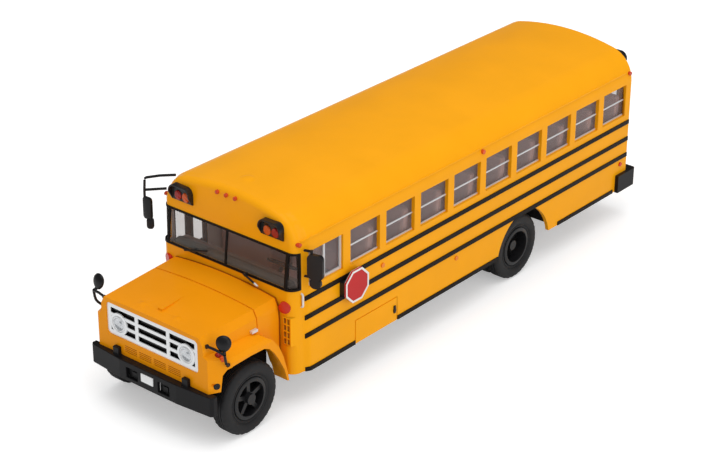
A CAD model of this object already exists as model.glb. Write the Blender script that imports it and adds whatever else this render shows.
"""Looks of the school bus display model: materials, finer pieces, floor, light and camera.

Places and sizes are in millimetres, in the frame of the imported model: front at -Y, the bus's
left at +X, floor at z = 0. They are turned to metres where a mesh, mask or camera is made. Only
the floor and the lights are given in metres.
"""

import math

import bmesh
import bpy
from mathutils import Matrix, Vector


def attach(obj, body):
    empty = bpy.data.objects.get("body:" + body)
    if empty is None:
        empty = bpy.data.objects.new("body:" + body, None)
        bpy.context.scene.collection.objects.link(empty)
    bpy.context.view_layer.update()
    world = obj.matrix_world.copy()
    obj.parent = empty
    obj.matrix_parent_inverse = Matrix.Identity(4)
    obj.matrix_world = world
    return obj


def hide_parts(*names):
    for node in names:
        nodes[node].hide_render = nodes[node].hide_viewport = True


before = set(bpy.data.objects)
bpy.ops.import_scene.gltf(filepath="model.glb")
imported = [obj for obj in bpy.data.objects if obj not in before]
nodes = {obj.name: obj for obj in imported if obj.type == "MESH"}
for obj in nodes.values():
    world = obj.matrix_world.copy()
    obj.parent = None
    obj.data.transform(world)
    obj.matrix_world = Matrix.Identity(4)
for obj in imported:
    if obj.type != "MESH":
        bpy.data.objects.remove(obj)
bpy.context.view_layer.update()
scene = bpy.context.scene
MM = 0.001
MM_PER_METRE = 1000

# Places that several sections share
GRILLE_FRONT_Y = -104.6
FRONT_AXLE_Y = -90.35
REAR_AXLE_Y = 39.75
AXLE_Z = 11.545
RIM_RADIUS = 6.65


def mm(x, y, z):
    """A place in millimetres, in metres."""
    return Vector((x * MM, y * MM, z * MM))


# Shader helpers

# Values of a noise that a colour ramp or a range is stretched between
NOISE_LOW = 0.3
NOISE_HIGH = 0.7
BROAD_LUMPS = 60.0
BROAD_DETAIL = 4.0
FINE_DETAIL = 2.0
CLEAR_LUMPS = 80.0
CLEAR_DARKEST = 0.94
# Share of its roughness that clear plastic varies between
CLEAR_SMOOTHEST = 0.8
CLEAR_ROUGHEST = 1.2
# Faces that look into the saloon: how far from the middle, and which are its ceiling
INWARD_FROM = 15
CEILING_FACING = -0.3
CEILING_LOW_Z = 55


def socket(node, name):
    """An input of a node by its name."""
    return node.inputs[name]


def new_material(name):
    """A material with only its output and a shader, and its tree."""
    material = bpy.data.materials.new(name)
    material.use_nodes = True
    tree = material.node_tree
    tree.nodes.clear()
    output = tree.nodes.new("ShaderNodeOutputMaterial")
    shader = tree.nodes.new("ShaderNodeBsdfPrincipled")
    tree.links.new(shader.outputs["BSDF"], output.inputs["Surface"])
    return material, tree, shader


def noise(tree, scale, detail=3.0):
    """Noise in the piece's own coordinates, scale in lumps per metre."""
    place = tree.nodes.new("ShaderNodeTexCoord")
    texture = tree.nodes.new("ShaderNodeTexNoise")
    socket(texture, "Scale").default_value = scale
    socket(texture, "Detail").default_value = detail
    tree.links.new(place.outputs["Object"], socket(texture, "Vector"))
    return texture.outputs["Fac"]


def ramp(tree, value, stops):
    """A colour ramp with stops of position and colour."""
    node = tree.nodes.new("ShaderNodeValToRGB")
    elements = node.color_ramp.elements
    while len(elements) < len(stops):
        elements.new(0.5)
    for element, (position, colour) in zip(elements, stops):
        element.position = position
        element.color = (*colour, 1.0)
    tree.links.new(value, node.inputs["Fac"])
    return node.outputs["Color"]


def spread(tree, value, low, high):
    """A noise value mapped to a range."""
    node = tree.nodes.new("ShaderNodeMapRange")
    socket(node, "From Min").default_value = NOISE_LOW
    socket(node, "From Max").default_value = NOISE_HIGH
    socket(node, "To Min").default_value = low
    socket(node, "To Max").default_value = high
    tree.links.new(value, socket(node, "Value"))
    return node.outputs["Result"]


def arithmetic(tree, kind, first, second):
    """A math node on two values, each a number or an output."""
    node = tree.nodes.new("ShaderNodeMath")
    node.operation = kind
    for number, value in enumerate((first, second)):
        if isinstance(value, (int, float)):
            node.inputs[number].default_value = value
        else:
            tree.links.new(value, node.inputs[number])
    return node.outputs["Value"]


def inside_box(tree, low, high):
    """1 inside a box given in millimetres, 0 outside it."""
    place = tree.nodes.new("ShaderNodeTexCoord")
    split = tree.nodes.new("ShaderNodeSeparateXYZ")
    tree.links.new(place.outputs["Object"], split.inputs["Vector"])
    inside = None
    for axis, start, end in zip("XYZ", low, high):
        above = arithmetic(tree, "GREATER_THAN", split.outputs[axis], start * MM)
        below = arithmetic(tree, "LESS_THAN", split.outputs[axis], end * MM)
        both = arithmetic(tree, "MULTIPLY", above, below)
        inside = both if inside is None else arithmetic(tree, "MULTIPLY", inside, both)
    return inside


def inward_faces(tree):
    """1 on the faces of the body that look into the saloon, 0 elsewhere."""
    shape = tree.nodes.new("ShaderNodeNewGeometry")
    place = tree.nodes.new("ShaderNodeTexCoord")
    where = tree.nodes.new("ShaderNodeSeparateXYZ")
    facing = tree.nodes.new("ShaderNodeSeparateXYZ")
    tree.links.new(place.outputs["Object"], where.inputs["Vector"])
    tree.links.new(shape.outputs["True Normal"], facing.inputs["Vector"])
    across = arithmetic(tree, "MULTIPLY", facing.outputs["X"], where.outputs["X"])
    side = arithmetic(tree, "LESS_THAN", across, -INWARD_FROM * MM)
    down = arithmetic(tree, "LESS_THAN", facing.outputs["Z"], CEILING_FACING)
    high = arithmetic(tree, "GREATER_THAN", where.outputs["Z"], CEILING_LOW_Z * MM)
    ceiling = arithmetic(tree, "MULTIPLY", down, high)
    return arithmetic(tree, "MAXIMUM", side, ceiling)


# Sockets of a mix node that are for colours: the two inputs and the output
MIX_FIRST = 6
MIX_SECOND = 7
MIX_RESULT = 2


def blend_colours(tree, factor, first, second):
    """Two colours mixed by a factor, each a tuple or an output."""
    node = tree.nodes.new("ShaderNodeMix")
    node.data_type = "RGBA"
    tree.links.new(factor, node.inputs[0])
    for number, value in ((MIX_FIRST, first), (MIX_SECOND, second)):
        if isinstance(value, tuple):
            node.inputs[number].default_value = (*value, 1.0)
        else:
            tree.links.new(value, node.inputs[number])
    return node.outputs[MIX_RESULT]


def bump(tree, shader, height, distance, strength):
    """Bump from a height, its distance in metres."""
    node = tree.nodes.new("ShaderNodeBump")
    socket(node, "Distance").default_value = distance
    socket(node, "Strength").default_value = strength
    tree.links.new(height, socket(node, "Height"))
    tree.links.new(node.outputs["Normal"], socket(shader, "Normal"))


def varied(colour, share):
    """A colour made a little darker or lighter."""
    return tuple(min(1.0, channel * share) for channel in colour)


def finish_material(name, colour, roughness, metallic=0.0, coat=0.0, coat_roughness=0.08,
                    grain=900.0, grain_depth=0.01, grain_strength=0.2, variation=0.05,
                    roughness_range=0.05, specular=0.5, marks=()):
    """A solid finish with colour and roughness variation, a fine grain and masked marks.

    Each mark is a function that makes a mask in the tree, and the colour it gets. The grain
    is in lumps per metre, its depth in millimetres.
    """
    material, tree, shader = new_material(name)
    broad = noise(tree, BROAD_LUMPS, BROAD_DETAIL)
    fine = noise(tree, grain, FINE_DETAIL)
    tint = ramp(tree, broad, ((NOISE_LOW, varied(colour, 1.0 - variation)),
                              (NOISE_HIGH, varied(colour, 1.0 + variation))))
    for make_mask, mark_colour in marks:
        tint = blend_colours(tree, make_mask(tree), tint, mark_colour)
    tree.links.new(tint, socket(shader, "Base Color"))
    rough = spread(tree, broad, roughness - roughness_range, roughness + roughness_range)
    tree.links.new(rough, socket(shader, "Roughness"))
    socket(shader, "Metallic").default_value = metallic
    socket(shader, "Coat Weight").default_value = coat
    socket(shader, "Coat Roughness").default_value = coat_roughness
    socket(shader, "Specular IOR Level").default_value = specular
    bump(tree, shader, fine, grain_depth * MM, grain_strength)
    return material


def clear_material(name, colour, roughness, thickness, specular):
    """Thin clear plastic: mostly see-through, with a plain gloss on top."""
    material, tree, shader = new_material(name)
    broad = noise(tree, CLEAR_LUMPS)
    tint = ramp(tree, broad, ((NOISE_LOW, varied(colour, CLEAR_DARKEST)), (NOISE_HIGH, colour)))
    tree.links.new(tint, socket(shader, "Base Color"))
    rough = spread(tree, broad, roughness * CLEAR_SMOOTHEST, roughness * CLEAR_ROUGHEST)
    tree.links.new(rough, socket(shader, "Roughness"))
    socket(shader, "Alpha").default_value = thickness
    socket(shader, "Specular IOR Level").default_value = specular
    return material


def box_mark(low, high):
    """A mask maker for a box given in millimetres."""
    return lambda tree: inside_box(tree, low, high)


# Materials

ENAMEL = (0.94, 0.385, 0.004)
NOSE_ENAMEL = (0.88, 0.31, 0.003)
BLACK = (0.010, 0.010, 0.011)
INSIDE = (0.74, 0.68, 0.64)
SHADOW = (0.006, 0.005, 0.005)
DEEP_ORANGE = (0.50, 0.16, 0.006)
SEAM_SHADE = (0.34, 0.075, 0.004)
VENT_SHADE = (0.42, 0.13, 0.006)
ROOF_LAMP_RED = (0.70, 0.085, 0.015)
REAR_LAMP_RED = (0.62, 0.03, 0.01)
ENAMEL_FINISH = {"roughness": 0.36, "specular": 0.07, "coat": 0.07, "coat_roughness": 0.1,
                 "grain": 700.0, "grain_depth": 0.03, "grain_strength": 0.10, "variation": 0.03}
LENS_FINISH = {"roughness": 0.2, "coat": 0.25, "specular": 0.3}

# Boxes whose faces get a colour of their own
VALANCE_SLOTS = ((-12, -104.85, 20), (12, -104.5, 22.6))
BONNET_SEAM = ((-30, -74.15, 10), (30, -73.0, 60))
COWL_VENTS = ((23.3, -73.45, 22.0), (26.25, -73.1, 31.3))
BEHIND_GRILLE = ((-20, GRILLE_FRONT_Y + 0.28, 0), (20, -90, 60))
HATCH_LATCH = ((25, -40, 0), (40, 0, 40))
ROOF_LAMPS = ((-40, -80, 50), (40, 120, 70))
REAR_SIDE_LAMPS = ((-40, 90, 0), (40, 120, 50))

yellow = finish_material("yellow_enamel", NOSE_ENAMEL, **ENAMEL_FINISH,
                         marks=((box_mark(*VALANCE_SLOTS), DEEP_ORANGE),
                                (box_mark(*BONNET_SEAM), SEAM_SHADE)))
body_yellow = finish_material("body_enamel", ENAMEL, **ENAMEL_FINISH,
                              marks=((inward_faces, INSIDE),
                                     (box_mark(*COWL_VENTS), VENT_SHADE)))
black_paint = finish_material("black_line", (0.009, 0.007, 0.006), 0.45, specular=0.12)
black_plastic = finish_material("black_moulding", BLACK, 0.36, grain=1500.0, grain_strength=0.3,
                                specular=0.3)
hood_black = finish_material("hood_black", BLACK, 0.28, specular=0.4)
chassis_black = finish_material("chassis_moulding", (0.018, 0.018, 0.019), 0.5, specular=0.25)
bumper_black = finish_material("bumper_black", (0.009, 0.009, 0.010), 0.34, grain=1200.0,
                               specular=0.16)
silver = finish_material("plated_silver", (0.84, 0.85, 0.86), 0.22, metallic=0.45)
grille_silver = finish_material("grille_plating", (0.88, 0.90, 0.91), 0.24, metallic=0.35,
                                marks=((box_mark(*BEHIND_GRILLE), SHADOW),))
sash_silver = finish_material("printed_silver", (0.66, 0.66, 0.67), 0.35, metallic=0.25)
handle_silver = finish_material("handle_silver", (0.74, 0.74, 0.74), 0.3, metallic=0.3)
latch_finish = finish_material("latch_finish", (0.74, 0.74, 0.75), 0.3, metallic=0.4,
                               marks=((box_mark(*HATCH_LATCH), BLACK),))
saloon = finish_material("saloon_moulding", (0.34, 0.27, 0.23), 0.6)
seat = finish_material("seat_moulding", (0.66, 0.37, 0.31), 0.5)
dash = finish_material("dash_moulding", (0.10, 0.115, 0.105), 0.5)
steel = finish_material("pin_steel", (0.55, 0.55, 0.56), 0.35, metallic=0.9)
rubber = finish_material("soft_tyre", (0.013, 0.013, 0.014), 0.55, grain=1400.0,
                         grain_strength=0.35, specular=0.3)
wheel_black = finish_material("wheel_black", (0.010, 0.010, 0.011), 0.3, specular=0.4)
white = finish_material("plate_white", (0.86, 0.87, 0.87), 0.4)
rim_white = finish_material("sign_rim_white", (0.80, 0.79, 0.78), 0.4)
sign_red = finish_material("sign_red", (0.52, 0.010, 0.012), 0.34, specular=0.3)
red_lens = finish_material("red_lens", (0.34, 0.012, 0.008), **LENS_FINISH, coat_roughness=0.05)
marker_lens = finish_material("marker_lens", (0.62, 0.055, 0.010), **LENS_FINISH)
side_lens = finish_material("side_lens", (0.80, 0.22, 0.012), **LENS_FINISH,
                            marks=((box_mark(*ROOF_LAMPS), ROOF_LAMP_RED),
                                   (box_mark(*REAR_SIDE_LAMPS), REAR_LAMP_RED)))
cowl_lens = finish_material("cowl_lens", (0.56, 0.022, 0.004), 0.2, coat=0.2, specular=0.3)
amber_lens = finish_material("amber_lens", (0.60, 0.09, 0.006), **LENS_FINISH, coat_roughness=0.05)
turn_lens = finish_material("turn_lens", (0.80, 0.09, 0.008), 0.2, coat=0.3, specular=0.3)
wiper_finish = finish_material("wiper_finish", BLACK, 0.35, specular=0.4)
mirror_silver = finish_material("mirror_silver", (0.80, 0.81, 0.82), 0.08, metallic=1.0)
bowl_silver = finish_material("bowl_silver", (0.82, 0.84, 0.86), 0.16, metallic=0.8)
dark_hole = finish_material("dark_hole", SHADOW, 0.8, specular=0.1)

screen_glass = clear_material("screen_glass", (0.22, 0.17, 0.15), 0.05, 0.15, 0.5)
saloon_glass = clear_material("saloon_glass", (0.34, 0.32, 0.33), 0.06, 0.22, 0.5)
lens_glass = clear_material("headlamp_lens", (0.80, 0.84, 0.88), 0.04, 0.22, 0.7)

SURFACES = {
    "body_shell": body_yellow,
    "bonnet_and_wings": yellow,
    "emergency_door": body_yellow,
    "grille": grille_silver,
    "headlamps": lens_glass,
    "front_bumper": bumper_black,
    "bumper_plate": white,
    "rear_bumper": bumper_black,
    "chassis_base": chassis_black,
    "saloon_floor": saloon,
    "passenger_seats": seat,
    "driver_seat": seat,
    "steering_wheel": black_plastic,
    "windscreen_frame": black_paint,
    "windscreen_glass": screen_glass,
    "side_glass": saloon_glass,
    "rear_glass": saloon_glass,
    "door_glass": saloon_glass,
    "window_sashes": sash_silver,
    "driver_window_frame": sash_silver,
    "entry_door": black_paint,
    "rub_rails": black_paint,
    "skirt_strips": black_paint,
    "lamp_hoods": hood_black,
    "amber_warning_lamps": amber_lens,
    "red_warning_lamps": red_lens,
    "marker_lamps": marker_lens,
    "side_lamps": side_lens,
    "cowl_lamps": cowl_lens,
    "tail_lamps": red_lens,
    "turn_lamps": turn_lens,
    "left_mirror": black_plastic,
    "right_mirror": black_plastic,
    "crossover_mirrors": black_plastic,
    "wipers": wiper_finish,
    "stop_sign": sign_red,
    "stop_sign_box": black_plastic,
    "grab_handle": handle_silver,
    "latches": latch_finish,
    "front_axle": steel,
    "front_wheels": wheel_black,
    "front_tyres": rubber,
    "rear_axle": steel,
    "rear_wheels": wheel_black,
    "rear_tyres": rubber,
}

for node_name, surface in SURFACES.items():
    item = nodes[node_name]
    item.data.materials.clear()
    item.data.materials.append(surface)

# Points this near are one point, and edges turning by more degrees than this are rounded
JOIN_DISTANCE = 0.001
SHARP_FROM = 32
# Edges of the cast and moulded nodes, rounded: node and width
ROUNDED = (
    ("bonnet_and_wings", 0.22),
    ("front_bumper", 0.22),
    ("rear_bumper", 0.22),
    ("lamp_hoods", 0.12),
    ("stop_sign_box", 0.15),
    ("grille", 0.07),
    ("passenger_seats", 0.9),
    ("driver_seat", 0.9),
    ("left_mirror", 0.15),
    ("front_wheels", 0.1),
    ("rear_wheels", 0.1),
)


def round_edges(item, width):
    """Joins the split corners of a mesh and rounds its sharp edges."""
    weld = item.modifiers.new("join", "WELD")
    weld.merge_threshold = JOIN_DISTANCE * MM
    edge = item.modifiers.new("edges", "BEVEL")
    edge.width = width * MM
    edge.segments = 2
    edge.limit_method = "ANGLE"
    edge.angle_limit = math.radians(SHARP_FROM)


# Front of the body, set back and drawn in as the photograph shows

# How far back, in and down the front goes, and where that starts, is full and ends
FRONT_START_Y = -66.5
FRONT_FULL_Y = -71.0
FRONT_BACK = 1.2
FRONT_NARROW = 0.042
FRONT_DROP = 0.9
DROP_FULL_Z = 56.0
DROP_END_Z = 62.0
DROP_FOOT_Z = 12.0
DROP_START_Z = 24.0
NOSE_STRETCH_Y = -84.0
NOSE_REAR_Y = -74.75
# Nodes with a fitted copy, and the copy's slot
FITTED = (
    ("body_shell", "yellow_paint"),
    ("lamp_hoods", "black_paint"),
    ("amber_warning_lamps", "amber_lens"),
    ("red_warning_lamps", "red_lens"),
    ("marker_lamps", "red_lens"),
    ("cowl_lamps", "amber_lens"),
    ("grab_handle", "black_plastic"),
    ("rub_rails", "black_paint"),
    ("skirt_strips", "black_paint"),
    ("saloon_floor", "saloon_plastic"),
    ("chassis_base", "black_plastic"),
    ("bonnet_and_wings", "yellow_paint"),
    ("windscreen_frame", "black_paint"),
    ("windscreen_glass", "clear_glazing"),
)
# Windscreen and its frame: its leaning plane, its flat part, and the band at its foot
SCREEN_FOOT_Y = -74.75
SCREEN_FOOT_Z = 40.9
SCREEN_LEAN = 1.45 / 12.0
SCREEN_FLAT_HALF = 25.3
SCREEN_DEPTH_KEPT = 0.45
SCREEN_BAND_LOW_Z = SCREEN_FOOT_Z + 0.5
SCREEN_BAND_TOP_Z = 42.2
SCREEN_BAND_CUT = 0.5
# Marker lamps, each place as x and z, and the share of their size they keep
MARKER_CENTRES = ((0, 63.8), (3.8, 63.8), (-3.8, 63.8), (28.0, 55.6), (-28.0, 55.6))
MARKER_SHARE = 0.8
HEADER_HALF = 10
HEADER_LAMPS_LOW = 0.7
HEADER_LAMPS_AHEAD = 0.2
# Front hoods and their lamps: middle and share kept, across and upwards
HOOD_CENTRE = (19.15, 58.5)
HOOD_SHARE = (0.92, 0.86)
# Part of the chassis that is drawn in with the body: outside this, and above this
DECK_HALF = 22.0
DECK_LOW_Z = 23.0


def eased(share):
    """0 to 1 with level ends."""
    share = max(0.0, min(1.0, share))
    return share * share * (3 - 2 * share)


def fitted_place(x, y, z):
    """Where a point of the body's front goes, in millimetres."""
    front = eased((FRONT_START_Y - y) / (FRONT_START_Y - FRONT_FULL_Y))
    low = 1 - eased((z - DROP_FULL_Z) / (DROP_END_Z - DROP_FULL_Z))
    foot = eased((z - DROP_FOOT_Z) / (DROP_START_Z - DROP_FOOT_Z))
    return (x * (1 - FRONT_NARROW * front), y + FRONT_BACK * front,
            z - FRONT_DROP * front * low * foot)


def fitted_nose(x, y, z):
    """The bonnet's rear end stretched back to the body."""
    rear = eased((y - NOSE_STRETCH_Y) / (NOSE_REAR_Y - NOSE_STRETCH_Y))
    return x, y + FRONT_BACK * rear, z


def fitted_screen(x, y, z):
    """The windscreen and its frame made thinner, then fitted as the body is."""
    if abs(x) < SCREEN_FLAT_HALF:
        face_y = SCREEN_FOOT_Y + (z - SCREEN_FOOT_Z) * SCREEN_LEAN
        y = face_y + (y - face_y) * SCREEN_DEPTH_KEPT
    if SCREEN_BAND_LOW_Z < z < SCREEN_BAND_TOP_Z:
        z -= SCREEN_BAND_CUT
    return fitted_place(x, y, z)


def fitted_marker(x, y, z):
    """The marker lamps made smaller round their own centres, then fitted as the body is."""
    centre_x, centre_z = min(MARKER_CENTRES,
                             key=lambda place: abs(x - place[0]) + abs(z - place[1]))
    x = centre_x + (x - centre_x) * MARKER_SHARE
    z = centre_z + (z - centre_z) * MARKER_SHARE
    if y < 0 and abs(centre_x) < HEADER_HALF:
        z -= HEADER_LAMPS_LOW
        y -= HEADER_LAMPS_AHEAD
    return fitted_place(x, y, z)


def fitted_hood(x, y, z):
    """A front hood drawn in round its middle, then fitted as the body is."""
    if y > 0:
        return x, y, z
    side = math.copysign(1, x)
    x = side * (HOOD_CENTRE[0] + (abs(x) - HOOD_CENTRE[0]) * HOOD_SHARE[0])
    z = HOOD_CENTRE[1] + (z - HOOD_CENTRE[1]) * HOOD_SHARE[1]
    return fitted_place(x, y, z)


def fitted_deck(x, y, z):
    """The chassis deck's front corners drawn in with the body, its rails left as they are."""
    if abs(x) < DECK_HALF or z < DECK_LOW_Z:
        return x, y, z
    return fitted_place(x, y, z)


# Planes across the bus that cut a copy before its points move
FRONT_CUTS = (-66.5, -67.4, -68.3, -69.2, -70.1, -71.0)
NOSE_CUTS = (-84.0, -82.0, -80.0, -78.0, -76.0)
CUTS = {"bonnet_and_wings": NOSE_CUTS}
CUT_SLACK = 0.01
FITTED_SHARP = 28
MOVES = {
    "bonnet_and_wings": fitted_nose,
    "windscreen_frame": fitted_screen,
    "windscreen_glass": fitted_screen,
    "chassis_base": fitted_deck,
    "marker_lamps": fitted_marker,
    "lamp_hoods": fitted_hood,
    "amber_warning_lamps": fitted_hood,
    "red_warning_lamps": fitted_hood,
}


def fitted_copy(name):
    """A copy of a node with its front end cut across and fitted, which stands for the node."""
    source = nodes[name]
    form = bmesh.new()
    form.from_mesh(source.data)
    bmesh.ops.remove_doubles(form, verts=form.verts, dist=JOIN_DISTANCE * MM)
    for cut_y in CUTS.get(name, FRONT_CUTS):
        parts = form.verts[:] + form.edges[:] + form.faces[:]
        bmesh.ops.bisect_plane(form, geom=parts, dist=CUT_SLACK * MM, plane_co=mm(0, cut_y, 0),
                               plane_no=(0, 1, 0))
    move = MOVES.get(name, fitted_place)
    for point in form.verts:
        point.co = mm(*move(*(MM_PER_METRE * value for value in point.co)))
    mesh = bpy.data.meshes.new(name + "_fitted")
    form.to_mesh(mesh)
    form.free()
    for face in mesh.polygons:
        face.use_smooth = True
    mesh.set_sharp_from_angle(angle=math.radians(FITTED_SHARP))
    for surface in source.data.materials:
        mesh.materials.append(surface)
    item = bpy.data.objects.new(name + "_fitted", mesh)
    scene.collection.objects.link(item)
    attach(item, "root")
    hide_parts(name)
    return item


fitted = {name: fitted_copy(name) for name, slot in FITTED}
for node_name, edge_width in ROUNDED:
    round_edges(fitted.get(node_name, nodes[node_name]), edge_width)
for item in fitted.values():
    flats = item.modifiers.new("flats", "WEIGHTED_NORMAL")
    flats.keep_sharp = True


# Mesh helpers

def mesh_piece(name, form, surface, body, smooth_angle=35):
    """A mesh object from a bmesh in metres, with its material, body and slot."""
    bmesh.ops.recalc_face_normals(form, faces=form.faces)
    mesh = bpy.data.meshes.new(name)
    form.to_mesh(mesh)
    form.free()
    for face in mesh.polygons:
        face.use_smooth = True
    mesh.set_sharp_from_angle(angle=math.radians(smooth_angle))
    mesh.materials.append(surface)
    item = bpy.data.objects.new(name, mesh)
    scene.collection.objects.link(item)
    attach(item, body)
    return item


def add_box(form, low, high):
    """A closed box between two corners in millimetres."""
    corners = [form.verts.new(mm(x, y, z)) for x in (low[0], high[0])
               for y in (low[1], high[1]) for z in (low[2], high[2])]
    for side in ((0, 1, 3, 2), (4, 6, 7, 5), (0, 4, 5, 1), (2, 3, 7, 6), (0, 2, 6, 4), (1, 5, 7, 3)):
        form.faces.new([corners[k] for k in side])


def add_box_pair(form, low, high):
    """A box on the left between two corners in millimetres, and its mirror image."""
    for side in (-1, 1):
        low_x, high_x = sorted((side * low[0], side * high[0]))
        add_box(form, (low_x, *low[1:]), (high_x, *high[1:]))


def add_ring_body(form, rings, closed_ends=True):
    """A solid through rings of equal count, each a list of points in millimetres."""
    made = [[form.verts.new(mm(*point)) for point in ring] for ring in rings]
    count = len(made[0])
    for first, second in zip(made, made[1:]):
        for k in range(count):
            after = (k + 1) % count
            form.faces.new((first[k], first[after], second[after], second[k]))
    if closed_ends:
        form.faces.new(made[0])
        form.faces.new(list(reversed(made[-1])))
    return made


# Upward share of a wire's direction from which it counts as upright
STEEP = 0.9


def add_tube(form, points, radius, sides=12):
    """A round wire along points in millimetres."""
    places = [Vector(point) for point in points]
    rings = []
    for k, place in enumerate(places):
        before = places[max(k - 1, 0)]
        after = places[min(k + 1, len(places) - 1)]
        along = (after - before).normalized()
        aside = along.cross(Vector((0, 0, 1)) if abs(along.z) < STEEP else Vector((1, 0, 0)))
        aside.normalize()
        over = along.cross(aside)
        rings.append([place + radius * (math.cos(turn) * aside + math.sin(turn) * over)
                      for turn in (2 * math.pi * step / sides for step in range(sides))])
    add_ring_body(form, rings)


def smooth_path(points, steps=6):
    """Points in millimetres joined by a Catmull-Rom curve."""
    places = [Vector(point) for point in points]
    padded = [places[0], *places, places[-1]]
    path = []
    for a, b, c, d in zip(padded, padded[1:], padded[2:], padded[3:]):
        for step in range(steps):
            t = step / steps
            path.append(0.5 * ((2 * b) + (c - a) * t + (2 * a - 5 * b + 4 * c - d) * t ** 2
                               + (3 * b - a - 3 * c + d) * t ** 3))
    path.append(places[-1])
    return path


# Tyres

TYRE_RADIUS = 11.53
TYRE_HALF = 2.85
GROOVE = 0.3
# Half of a tyre's section from bead to middle: radius, distance from the middle plane
TYRE_SECTION = (
    (RIM_RADIUS - 0.15, 1.7),
    (RIM_RADIUS + 0.25, 2.35),
    (RIM_RADIUS + 0.85, 2.5),
    (RIM_RADIUS + 0.95, 2.38),
    (RIM_RADIUS + 1.15, 2.38),
    (RIM_RADIUS + 1.25, 2.56),
    (8.8, TYRE_HALF),
    (9.9, TYRE_HALF),
    (10.6, 2.72),
    (11.15, 2.42),
    (11.45, 2.05),
    (TYRE_RADIUS, 1.75),
    (TYRE_RADIUS, 1.45),
    (TYRE_RADIUS - GROOVE, 1.38),
    (TYRE_RADIUS - GROOVE, 1.22),
    (TYRE_RADIUS, 1.15),
    (TYRE_RADIUS, 0.5),
    (TYRE_RADIUS - GROOVE, 0.43),
    (TYRE_RADIUS - GROOVE, 0.27),
    (TYRE_RADIUS, 0.2),
)
SHOULDER_POINTS = (9, 10, 11)
TYRE_STEPS = 96
SHOULDER_NOTCH = 0.16
STEPS_PER_NOTCH = 3
# Per axle: piece, place of the axle, body, and places of the tyres across the bus
TYRES = (
    ("front_tyre_rubber", FRONT_AXLE_Y, "front_wheelset", (22.83, -22.83)),
    ("rear_tyre_rubber", REAR_AXLE_Y, "rear_wheelset", (24.15, 17.75, -24.15, -17.75)),
)


def add_tyre(form, x, axle_y):
    """A tyre with rounded shoulders, side rings, grooves and notched shoulders."""
    section = [(radius, side) for radius, side in TYRE_SECTION]
    section += [(radius, -side) for radius, side in reversed(TYRE_SECTION)]
    notched = set(SHOULDER_POINTS) | {len(section) - 1 - k for k in SHOULDER_POINTS}
    rings = []
    for step in range(TYRE_STEPS):
        turn = 2 * math.pi * step / TYRE_STEPS
        ring = []
        for number, (radius, side) in enumerate(section):
            cut = SHOULDER_NOTCH if number in notched and step % STEPS_PER_NOTCH == 0 else 0
            reach = radius - cut
            ring.append(form.verts.new(mm(x + side, axle_y + reach * math.cos(turn),
                                          AXLE_Z + reach * math.sin(turn))))
        rings.append(ring)
    for first, second in zip(rings, rings[1:] + rings[:1]):
        for k in range(len(section)):
            after = (k + 1) % len(section)
            form.faces.new((first[k], first[after], second[after], second[k]))


for tyre_name, axle_y, body, places in TYRES:
    tyre_form = bmesh.new()
    for tyre_x in places:
        add_tyre(tyre_form, tyre_x, axle_y)
    tyres = mesh_piece(tyre_name, tyre_form, rubber, body, 50)
    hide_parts("front_tyres" if axle_y < 0 else "rear_tyres")


# Headlamps

def add_dish(form, x, y, z, profile, steps=32):
    """A turned shell on an axis along y: its profile is radius and distance behind y."""
    rings = []
    for radius, back in profile:
        rings.append([form.verts.new(mm(x + radius * math.cos(turn), y + back,
                                        z + radius * math.sin(turn)))
                      for turn in (2 * math.pi * k / steps for k in range(steps))])
    for first, second in zip(rings, rings[1:]):
        for k in range(steps):
            after = (k + 1) % steps
            form.faces.new((first[k], first[after], second[after], second[k]))
    form.faces.new(rings[-1])
    return rings


LAMP_X = 13.9
LAMP_Z = 28.4
BOWL_AHEAD = 0.05
RING_AHEAD = 0.1
# Headlamp bowl and ring: radius, and distance behind the piece's front
BOWL = ((2.05, 0.0), (1.9, 0.2), (1.5, 0.4), (1.0, 0.52), (0.7, 0.56), (0.55, 0.28), (0.3, 0.18))
RING = ((2.05, 0.25), (2.08, -0.16), (2.2, -0.26), (2.4, -0.22), (2.55, -0.05), (3.3, 0.02),
        (3.4, 0.2))

bowl_form = bmesh.new()
ring_form = bmesh.new()
for side in (-1, 1):
    add_dish(bowl_form, side * LAMP_X, GRILLE_FRONT_Y - BOWL_AHEAD, LAMP_Z, BOWL)
    add_dish(ring_form, side * LAMP_X, GRILLE_FRONT_Y - RING_AHEAD, LAMP_Z, RING)
# The end face of a ring would lie across its lamp
for face in [face for face in ring_form.faces if len(face.verts) > 4]:
    ring_form.faces.remove(face)
mesh_piece("headlamp_bowls", bowl_form, bowl_silver, "root", 60)
mesh_piece("headlamp_rings", ring_form, silver, "root", 60)


# Stop sign's rim

SIGN_CENTRE = (30.5, -48.35, 34.1)
SIGN_FLATS = 10.6
SIGN_THICK = 0.6
RIM_PROUD = 0.1
RIM_WIDTH = 0.62


def octagon(flats, x):
    """Corners of an upright octagon at x, round the sign's centre."""
    half_side = math.pi / 8
    reach = flats / 2 / math.cos(half_side)
    return [(x, SIGN_CENTRE[1] + reach * math.cos(turn), SIGN_CENTRE[2] + reach * math.sin(turn))
            for turn in (half_side * (2 * k + 1) for k in range(8))]


rim_form = bmesh.new()
for side in (1, -1):
    x_in = SIGN_CENTRE[0] + side * SIGN_THICK / 2
    x_out = x_in + side * RIM_PROUD
    loops = [octagon(SIGN_FLATS, x_in), octagon(SIGN_FLATS, x_out),
             octagon(SIGN_FLATS - 2 * RIM_WIDTH, x_out), octagon(SIGN_FLATS - 2 * RIM_WIDTH, x_in)]
    made = add_ring_body(rim_form, loops, closed_ends=False)
    for k in range(8):
        after = (k + 1) % 8
        rim_form.faces.new((made[3][k], made[3][after], made[0][after], made[0][k]))
mesh_piece("stop_sign_rim", rim_form, rim_white, "root", 30)


# Crossover mirrors

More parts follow.
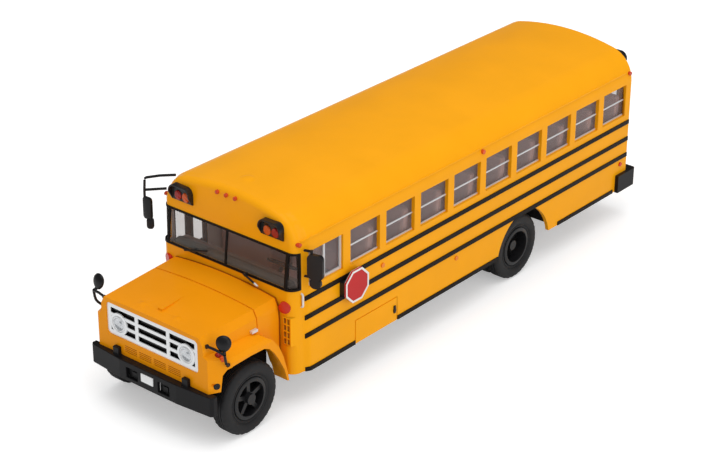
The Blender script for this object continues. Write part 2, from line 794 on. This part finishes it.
# Per side: side, head's turn in degrees, and places of head, hub, corner foot and wing foot
CROSSOVER = (
    (1, 32, (25.5, -101.0, 34.8), (26.9, -102.2, 32.0), (21.3, -103.5, 33.4), (25.6, -99.6, 27.2)),
    (-1, -4, (-25.6, -101.0, 37.2), (-27.2, -102.0, 34.0), (-20.9, -103.5, 34.6),
     (-25.0, -100.2, 28.8)),
)
HEAD_RADIUS = 2.3
HEAD_TALL = 2.5
HEAD_THICK = 1.2
HEAD_TILT = -14
HEAD_EGG = 0.13
HEAD_STEPS = 28
# Rings of a head from its domed back to its face: share of its size, share of its thickness
HEAD_RINGS = ((0.05, 1.0), (0.45, 0.93), (0.75, 0.72), (0.93, 0.42), (1.0, 0.12), (0.97, 0.0),
              (0.8, 0.0), (0.2, 0.0))
STEM_DROP = Vector((0, 0, -1.6))
STEM_RADIUS = 0.5
CROSS_WIRE = 0.42
CORNER_BEND = Vector((0, 0, 0.3))
FOOT_HALF = Vector((0, 0.35, 0))
FOOT_RADIUS = 0.62


def add_mirror_head(form, centre, toe):
    """A domed back and flat face, egg-shaped with its narrow end below."""
    turn_out = Matrix.Rotation(math.radians(toe), 3, "Z")
    tilt = Matrix.Rotation(math.radians(HEAD_TILT), 3, "X")
    rings = []
    for share, back in HEAD_RINGS:
        ring = []
        for k in range(HEAD_STEPS):
            turn = 2 * math.pi * k / HEAD_STEPS
            across = HEAD_RADIUS * math.cos(turn) * (1 + HEAD_EGG * math.sin(turn))
            point = Vector((across * share, -HEAD_THICK * back, HEAD_TALL * math.sin(turn) * share))
            ring.append(centre + turn_out @ (tilt @ point))
        rings.append(ring)
    add_ring_body(form, rings)


cross_form = bmesh.new()
for side, toe, *places in CROSSOVER:
    head, hub, corner, wing = [Vector(place) for place in places]
    wing_bend = Vector((side * 0.5, -0.6, -0.6))
    add_mirror_head(cross_form, head, toe)
    add_tube(cross_form, smooth_path([head + STEM_DROP, hub], 3), STEM_RADIUS)
    add_tube(cross_form, smooth_path([hub, (hub + corner) / 2 + CORNER_BEND, corner]), CROSS_WIRE)
    add_tube(cross_form, smooth_path([hub, (hub + wing) / 2 + wing_bend, wing]), CROSS_WIRE)
    for foot in (corner, wing):
        add_tube(cross_form, [foot - FOOT_HALF, foot + FOOT_HALF], FOOT_RADIUS)
crossovers = mesh_piece("crossover_wires_and_heads", cross_form, black_plastic, "root",
                        50)
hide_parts("crossover_mirrors")


# Wipers

# Per wiper: pivot, blade's inner and outer end
WIPERS = (
    ((9.0, -73.9, 40.5), (8.2, -74.2, 40.7), (14.1, -74.5, 38.6)),
    ((-12.2, -73.7, 41.3), (-16.2, -74.2, 40.4), (-7.0, -73.9, 42.9)),
)
PIVOT_BACK = Vector((0, 0.6, 0))
PIVOT_FRONT = Vector((0, -0.55, 0))
ARM_FRONT = Vector((0, -0.3, 0))
TIP_END = Vector((0.15, 0, -0.05))
PIVOT_RADIUS = 0.55
ARM_RADIUS = 0.22
BLADE_RADIUS = 0.34
TIP_RADIUS = 0.36
# Where along a blade its arm ends, and where its bright tip starts
ARM_END = 0.55
TIP_START = 0.78

wiper_form = bmesh.new()
tip_form = bmesh.new()
for places in WIPERS:
    pivot, inner, outer = [Vector(place) for place in places]
    add_tube(wiper_form, [pivot + PIVOT_BACK, pivot + PIVOT_FRONT], PIVOT_RADIUS)
    add_tube(wiper_form, [pivot + ARM_FRONT, inner.lerp(outer, ARM_END)], ARM_RADIUS)
    add_tube(wiper_form, [inner, outer], BLADE_RADIUS)
    if pivot.x > 0:
        add_tube(tip_form, [inner.lerp(outer, TIP_START), outer + TIP_END], TIP_RADIUS)
wipers = mesh_piece("wiper_arms_and_blades", wiper_form, wiper_finish, "root", 50)
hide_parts("wipers")
mesh_piece("wiper_tip", tip_form, silver, "root", 50)


# Compartment latch and wing plugs

def round_form(form, width):
    """Rounds all edges of a bmesh by a width in millimetres."""
    bmesh.ops.bevel(form, geom=form.edges[:], offset=width * MM, segments=2, profile=0.5,
                    affect="EDGES")


LATCH_LOW = (28.35, -27.95, 14.9)
LATCH_HIGH = (28.75, -27.0, 17.5)
LATCH_ROUND = 0.12

latch_form = bmesh.new()
add_box(latch_form, LATCH_LOW, LATCH_HIGH)
round_form(latch_form, LATCH_ROUND)
mesh_piece("compartment_latch", latch_form, black_plastic, "root", 40)

# Plug in a wing's front: radius and distance out of the wing, then its middle and its turn
PLUG_RING = ((1.0, -0.15), (1.0, 0.12), (0.8, 0.2), (0.55, 0.1), (0.5, 0.06))
PLUG_CENTRE = (23.85, -102.6, 20.7)
WING_FRONT_SLANT = 62

plug_form = bmesh.new()
for side in (-1, 1):
    made = add_dish(plug_form, 0, 0, 0, [(radius, -out) for radius, out in PLUG_RING], 24)
    turn = Matrix.Rotation(math.radians(WING_FRONT_SLANT) * side, 4, "Z")
    place = Matrix.Translation(mm(side * PLUG_CENTRE[0], *PLUG_CENTRE[1:]))
    corners = [corner for ring in made for corner in ring]
    bmesh.ops.transform(plug_form, matrix=place @ turn, verts=corners)
mesh_piece("wing_plug_rings", plug_form, black_plastic, "root", 40)


# Dark backs behind openings

# Boxes on the left, each mirrored to the right
TOW_BACK = ((3.9, -105.9, 12.7), (9.5, -105.6, 18.2))
TOW_HOOK = ((5.4, -106.3, 13.6), (7.4, -105.9, 15.4))
WING_LINER = ((18.9, -102.5, 14.0), (19.2, -76.6, 26.4))

back_form = bmesh.new()
add_box_pair(back_form, *TOW_BACK)
add_box_pair(back_form, *TOW_HOOK)
mesh_piece("tow_recess_backs", back_form, chassis_black, "root", 40)

liner_form = bmesh.new()
add_box_pair(liner_form, *WING_LINER)
mesh_piece("wing_liners", liner_form, dark_hole, "root", 40)

# Outline of a rear wheel well: distance behind the rear axle, and height
WELL_OUTLINE = ((-13.3, 14.2), (-10.4, 18.8), (-4.8, 23.9), (8.2, 23.9), (13.2, 19.5), (16.6, 14.4))
WELL_MIDDLE = Vector((1.6, 12.0))
WELL_THICK = 0.35
WELL_INNER_X = 13.4
WELL_OUTER_X = 26.95

well_form = bmesh.new()
for side in (-1, 1):
    for start, end in zip(WELL_OUTLINE, WELL_OUTLINE[1:]):
        corners = [Vector(start), Vector(end)]
        corners += [point + WELL_THICK * (point - WELL_MIDDLE).normalized()
                    for point in reversed(corners)]
        add_ring_body(well_form, [[(side * x, REAR_AXLE_Y + back, z) for back, z in corners]
                                  for x in (WELL_INNER_X, WELL_OUTER_X)])
mesh_piece("rear_wheel_wells", well_form, dark_hole, "root", 40)


# Dark discs behind the spokes: piece, axle, body and distance from the middle of the bus
WHEEL_BACKS = (
    ("front_wheel_backs", FRONT_AXLE_Y, "front_wheelset", 20.9),
    ("rear_wheel_backs", REAR_AXLE_Y, "rear_wheelset", 22.6),
)
WHEEL_BACK_RADIUS = RIM_RADIUS - 0.3
WHEEL_BACK_THICK = 0.3


def add_disc(form, x, y, z, radius, thick, steps=48):
    """A closed disc on an axis along x."""
    rings = [[(x + offset, y + radius * math.cos(turn), z + radius * math.sin(turn))
              for turn in (2 * math.pi * k / steps for k in range(steps))]
             for offset in (-thick / 2, thick / 2)]
    add_ring_body(form, rings)


for disc_name, axle_y, body, disc_x in WHEEL_BACKS:
    disc_form = bmesh.new()
    for side in (-1, 1):
        add_disc(disc_form, side * disc_x, axle_y, AXLE_Z, WHEEL_BACK_RADIUS, WHEEL_BACK_THICK)
    mesh_piece(disc_name, disc_form, dark_hole, body, 40)


# Turn lamps on the wings

# Red and orange lamp of a wing: piece, place on the left, slot and finish
TURN_LAMPS = (
    ("turn_lamp_reds", (22.7, -101.1, 29.7), "red_lens", red_lens),
    ("turn_lamp_oranges", (24.2, -100.9, 29.0), "amber_lens", turn_lens),
)
# Lamp from its foot to its front: radius, distance behind the lamp's place
LAMP_PROFILE = ((0.85, 1.3), (0.9, 0.5), (0.86, 0.0), (0.62, -0.32), (0.3, -0.42))
for lamp_name, centre, slot, surface in TURN_LAMPS:
    lamp_form = bmesh.new()
    for side in (-1, 1):
        add_dish(lamp_form, side * centre[0], centre[1], centre[2], LAMP_PROFILE, 24)
    mesh_piece(lamp_name, lamp_form, surface, "root", 60)
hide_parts("turn_lamps")


# Right mirror

MIRROR_WIRE = 0.42
# Bracket's upper wire from the roof to the head, and its lower wire
UPPER_WIRE = ((-22.6, -70.4, 62.3), (-27.0, -72.8, 61.6), (-30.7, -74.9, 60.6), (-31.2, -75.1, 60.2),
              (-31.4, -75.1, 59.5), (-31.7, -75.1, 56.0), (-31.8, -75.0, 50.0))
LOWER_WIRE = ((-26.6, -70.6, 56.6), (-31.7, -75.1, 56.2))
# Plates: middle, width, height, thickness, corner radius and turn in degrees
MIRROR_HEAD = ((-30.7, -75.0, 50.3), 3.3, 7.4, 1.1, 1.0, 4)
SPOT_HEAD = ((-29.8, -75.0, 45.4), 2.3, 3.8, 0.9, 1.0, 36)
MIRROR_GLASS = ((-30.7, -74.42, 50.3), 2.8, 6.8, 0.1, 0.8, 4)
SPOT_STEM = ((-31.0, -75.0, 48.0), (-29.6, -75.0, 45.6))
SPOT_STEM_RADIUS = 0.4
CORNER_STEPS = 6


def add_plate(form, centre, wide, tall, thick, corner, toe):
    """An upright plate with round corners, facing along y before its turn."""
    turn = Matrix.Rotation(math.radians(toe), 3, "Z")
    outline = []
    for right, up, start in ((1, 1, 0), (-1, 1, 90), (-1, -1, 180), (1, -1, 270)):
        for step in range(CORNER_STEPS):
            angle = math.radians(start + 90 * step / (CORNER_STEPS - 1))
            outline.append((right * (wide / 2 - corner) + corner * math.cos(angle),
                            up * (tall / 2 - corner) + corner * math.sin(angle)))
    # Rings through the thickness: place along y, and share of the outline
    sections = ((-thick / 2, 0.86), (-thick / 2 + 0.2, 1.0), (thick / 2 - 0.15, 1.0),
                (thick / 2, 0.93))
    rings = []
    for y, share in sections:
        rings.append([Vector(centre) + turn @ Vector((x * share, y, z * share)) for x, z in outline])
    add_ring_body(form, rings)


mirror_form = bmesh.new()
add_tube(mirror_form, UPPER_WIRE, MIRROR_WIRE)
add_tube(mirror_form, LOWER_WIRE, MIRROR_WIRE)
add_plate(mirror_form, *MIRROR_HEAD)
add_plate(mirror_form, *SPOT_HEAD)
add_tube(mirror_form, SPOT_STEM, SPOT_STEM_RADIUS)
right_mirror = mesh_piece("right_mirror_bracket_and_heads", mirror_form, black_plastic, "root",
                          45)
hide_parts("right_mirror")
glass_form = bmesh.new()
add_plate(glass_form, *MIRROR_GLASS)
mesh_piece("right_mirror_glass", glass_form, mirror_silver, "root", 45)


# Dash

# Section of the dash, each point as y and z
DASH_SECTION = ((-72.0, 38.4), (-72.0, 41.2), (-69.6, 41.4), (-67.8, 40.6), (-67.0, 38.8),
                (-67.2, 36.4), (-70.5, 35.6))
DASH_HALF = 23.0
DASH_ROUND = 0.35

dash_form = bmesh.new()
add_ring_body(dash_form, [[(x, y, z) for y, z in DASH_SECTION] for x in (-DASH_HALF, DASH_HALF)])
round_form(dash_form, DASH_ROUND)
mesh_piece("dash_panel", dash_form, dash, "root", 40)


# Floor, light and camera

WHITE = (1, 1, 1, 1)
# Floor: half its width in metres, its grey, and the glow that only the camera sees
FLOOR_HALF = 4.0
FLOOR_GREY = (0.86, 0.86, 0.86, 1)
FLOOR_LIFT = 0.36
# Strength of the world as even light, and in reflections
WORLD_LIGHT = 0.64
WORLD_GLOSS = 0.12
# Soft lights: name, place and target in metres, size in metres, power in watts
LIGHTS = (
    ("overhead", (0.15, -0.05, 0.9), (0, 0, 0), 0.8, 3.2),
    ("side", (0.9, -0.15, 0.4), (0, 0, 0.02), 0.6, 1.9),
)
# Camera: turn round the bus from its front, height angle and roll in degrees, then its target,
# distance, sensor and lens, shift as a share of the picture's width, and near clip in metres
CAMERA_AZIMUTH = 39.975
CAMERA_ELEVATION = 26.4
CAMERA_ROLL = 0.24
CAMERA_TARGET = (-0.808, -9.401, 30.0)
CAMERA_DISTANCE = 644.592
SENSOR_WIDTH = 36.0
LENS = 99.07
SHIFT = (0.00093, -0.0095)
NEAR_CLIP = 0.01


def make_floor():
    """A pale floor, lifted to white for the camera and keeping the shadow."""
    mesh = bpy.data.meshes.new("studio_floor")
    corners = [(x * FLOOR_HALF, y * FLOOR_HALF, 0) for x, y in ((-1, -1), (1, -1), (1, 1), (-1, 1))]
    mesh.from_pydata(corners, [], [(0, 1, 2, 3)])
    floor = bpy.data.objects.new("studio_floor", mesh)
    scene.collection.objects.link(floor)
    material = bpy.data.materials.new("studio_floor")
    material.use_nodes = True
    tree = material.node_tree
    tree.nodes.clear()
    output = tree.nodes.new("ShaderNodeOutputMaterial")
    diffuse = tree.nodes.new("ShaderNodeBsdfDiffuse")
    glow = tree.nodes.new("ShaderNodeEmission")
    both = tree.nodes.new("ShaderNodeAddShader")
    path = tree.nodes.new("ShaderNodeLightPath")
    socket(diffuse, "Color").default_value = FLOOR_GREY
    socket(glow, "Color").default_value = WHITE
    seen = arithmetic(tree, "MAXIMUM", path.outputs["Is Camera Ray"],
                      path.outputs["Is Transmission Ray"])
    lift = arithmetic(tree, "MULTIPLY", seen, FLOOR_LIFT)
    tree.links.new(lift, socket(glow, "Strength"))
    tree.links.new(diffuse.outputs["BSDF"], both.inputs[0])
    tree.links.new(glow.outputs["Emission"], both.inputs[1])
    tree.links.new(both.outputs["Shader"], output.inputs["Surface"])
    floor.data.materials.append(material)


def area_light(name, place, target, size, power):
    """A square soft light, in metres and watts."""
    lamp = bpy.data.lights.new(name, "AREA")
    lamp.shape = "SQUARE"
    lamp.size = size
    lamp.energy = power
    item = bpy.data.objects.new(name, lamp)
    item.location = place
    item.rotation_euler = (Vector(place) - Vector(target)).to_track_quat("Z", "Y").to_euler()
    scene.collection.objects.link(item)


def make_world():
    """Even light from all round, dimmer in reflections, and white where the camera sees it."""
    world = bpy.data.worlds.new("studio")
    scene.world = world
    world.use_nodes = True
    tree = world.node_tree
    background = tree.nodes["Background"]
    path = tree.nodes.new("ShaderNodeLightPath")
    socket(background, "Color").default_value = WHITE
    plain = arithmetic(tree, "MULTIPLY", path.outputs["Is Diffuse Ray"], WORLD_LIGHT)
    mirrored = arithmetic(tree, "MULTIPLY", path.outputs["Is Glossy Ray"], WORLD_GLOSS)
    lit = arithmetic(tree, "ADD", plain, mirrored)
    seen = arithmetic(tree, "ADD", lit, path.outputs["Is Camera Ray"])
    strength = arithmetic(tree, "MINIMUM", seen, 1.0)
    tree.links.new(strength, socket(background, "Strength"))


def make_camera():
    """Camera at the photograph's place, from the model's own measurements."""
    azimuth = math.radians(CAMERA_AZIMUTH)
    elevation = math.radians(CAMERA_ELEVATION)
    roll = math.radians(CAMERA_ROLL)
    back = Vector((math.sin(azimuth) * math.cos(elevation),
                   -math.cos(azimuth) * math.cos(elevation), math.sin(elevation)))
    right = Vector((math.cos(azimuth), math.sin(azimuth), 0))
    up = back.cross(right)
    right_turned = math.cos(roll) * right + math.sin(roll) * up
    up_turned = -math.sin(roll) * right + math.cos(roll) * up
    camera = bpy.data.cameras.new("camera")
    camera.sensor_width = SENSOR_WIDTH
    camera.lens = LENS
    camera.shift_x, camera.shift_y = SHIFT
    camera.clip_start = NEAR_CLIP
    item = bpy.data.objects.new("camera", camera)
    turn = Matrix((right_turned, up_turned, back)).transposed()
    place = mm(*CAMERA_TARGET) + back * (CAMERA_DISTANCE * MM)
    item.matrix_world = Matrix.Translation(place) @ turn.to_4x4()
    scene.collection.objects.link(item)
    scene.camera = item


make_floor()
make_world()
for light in LIGHTS:
    area_light(*light)
make_camera()
scene.view_settings.view_transform = "Standard"
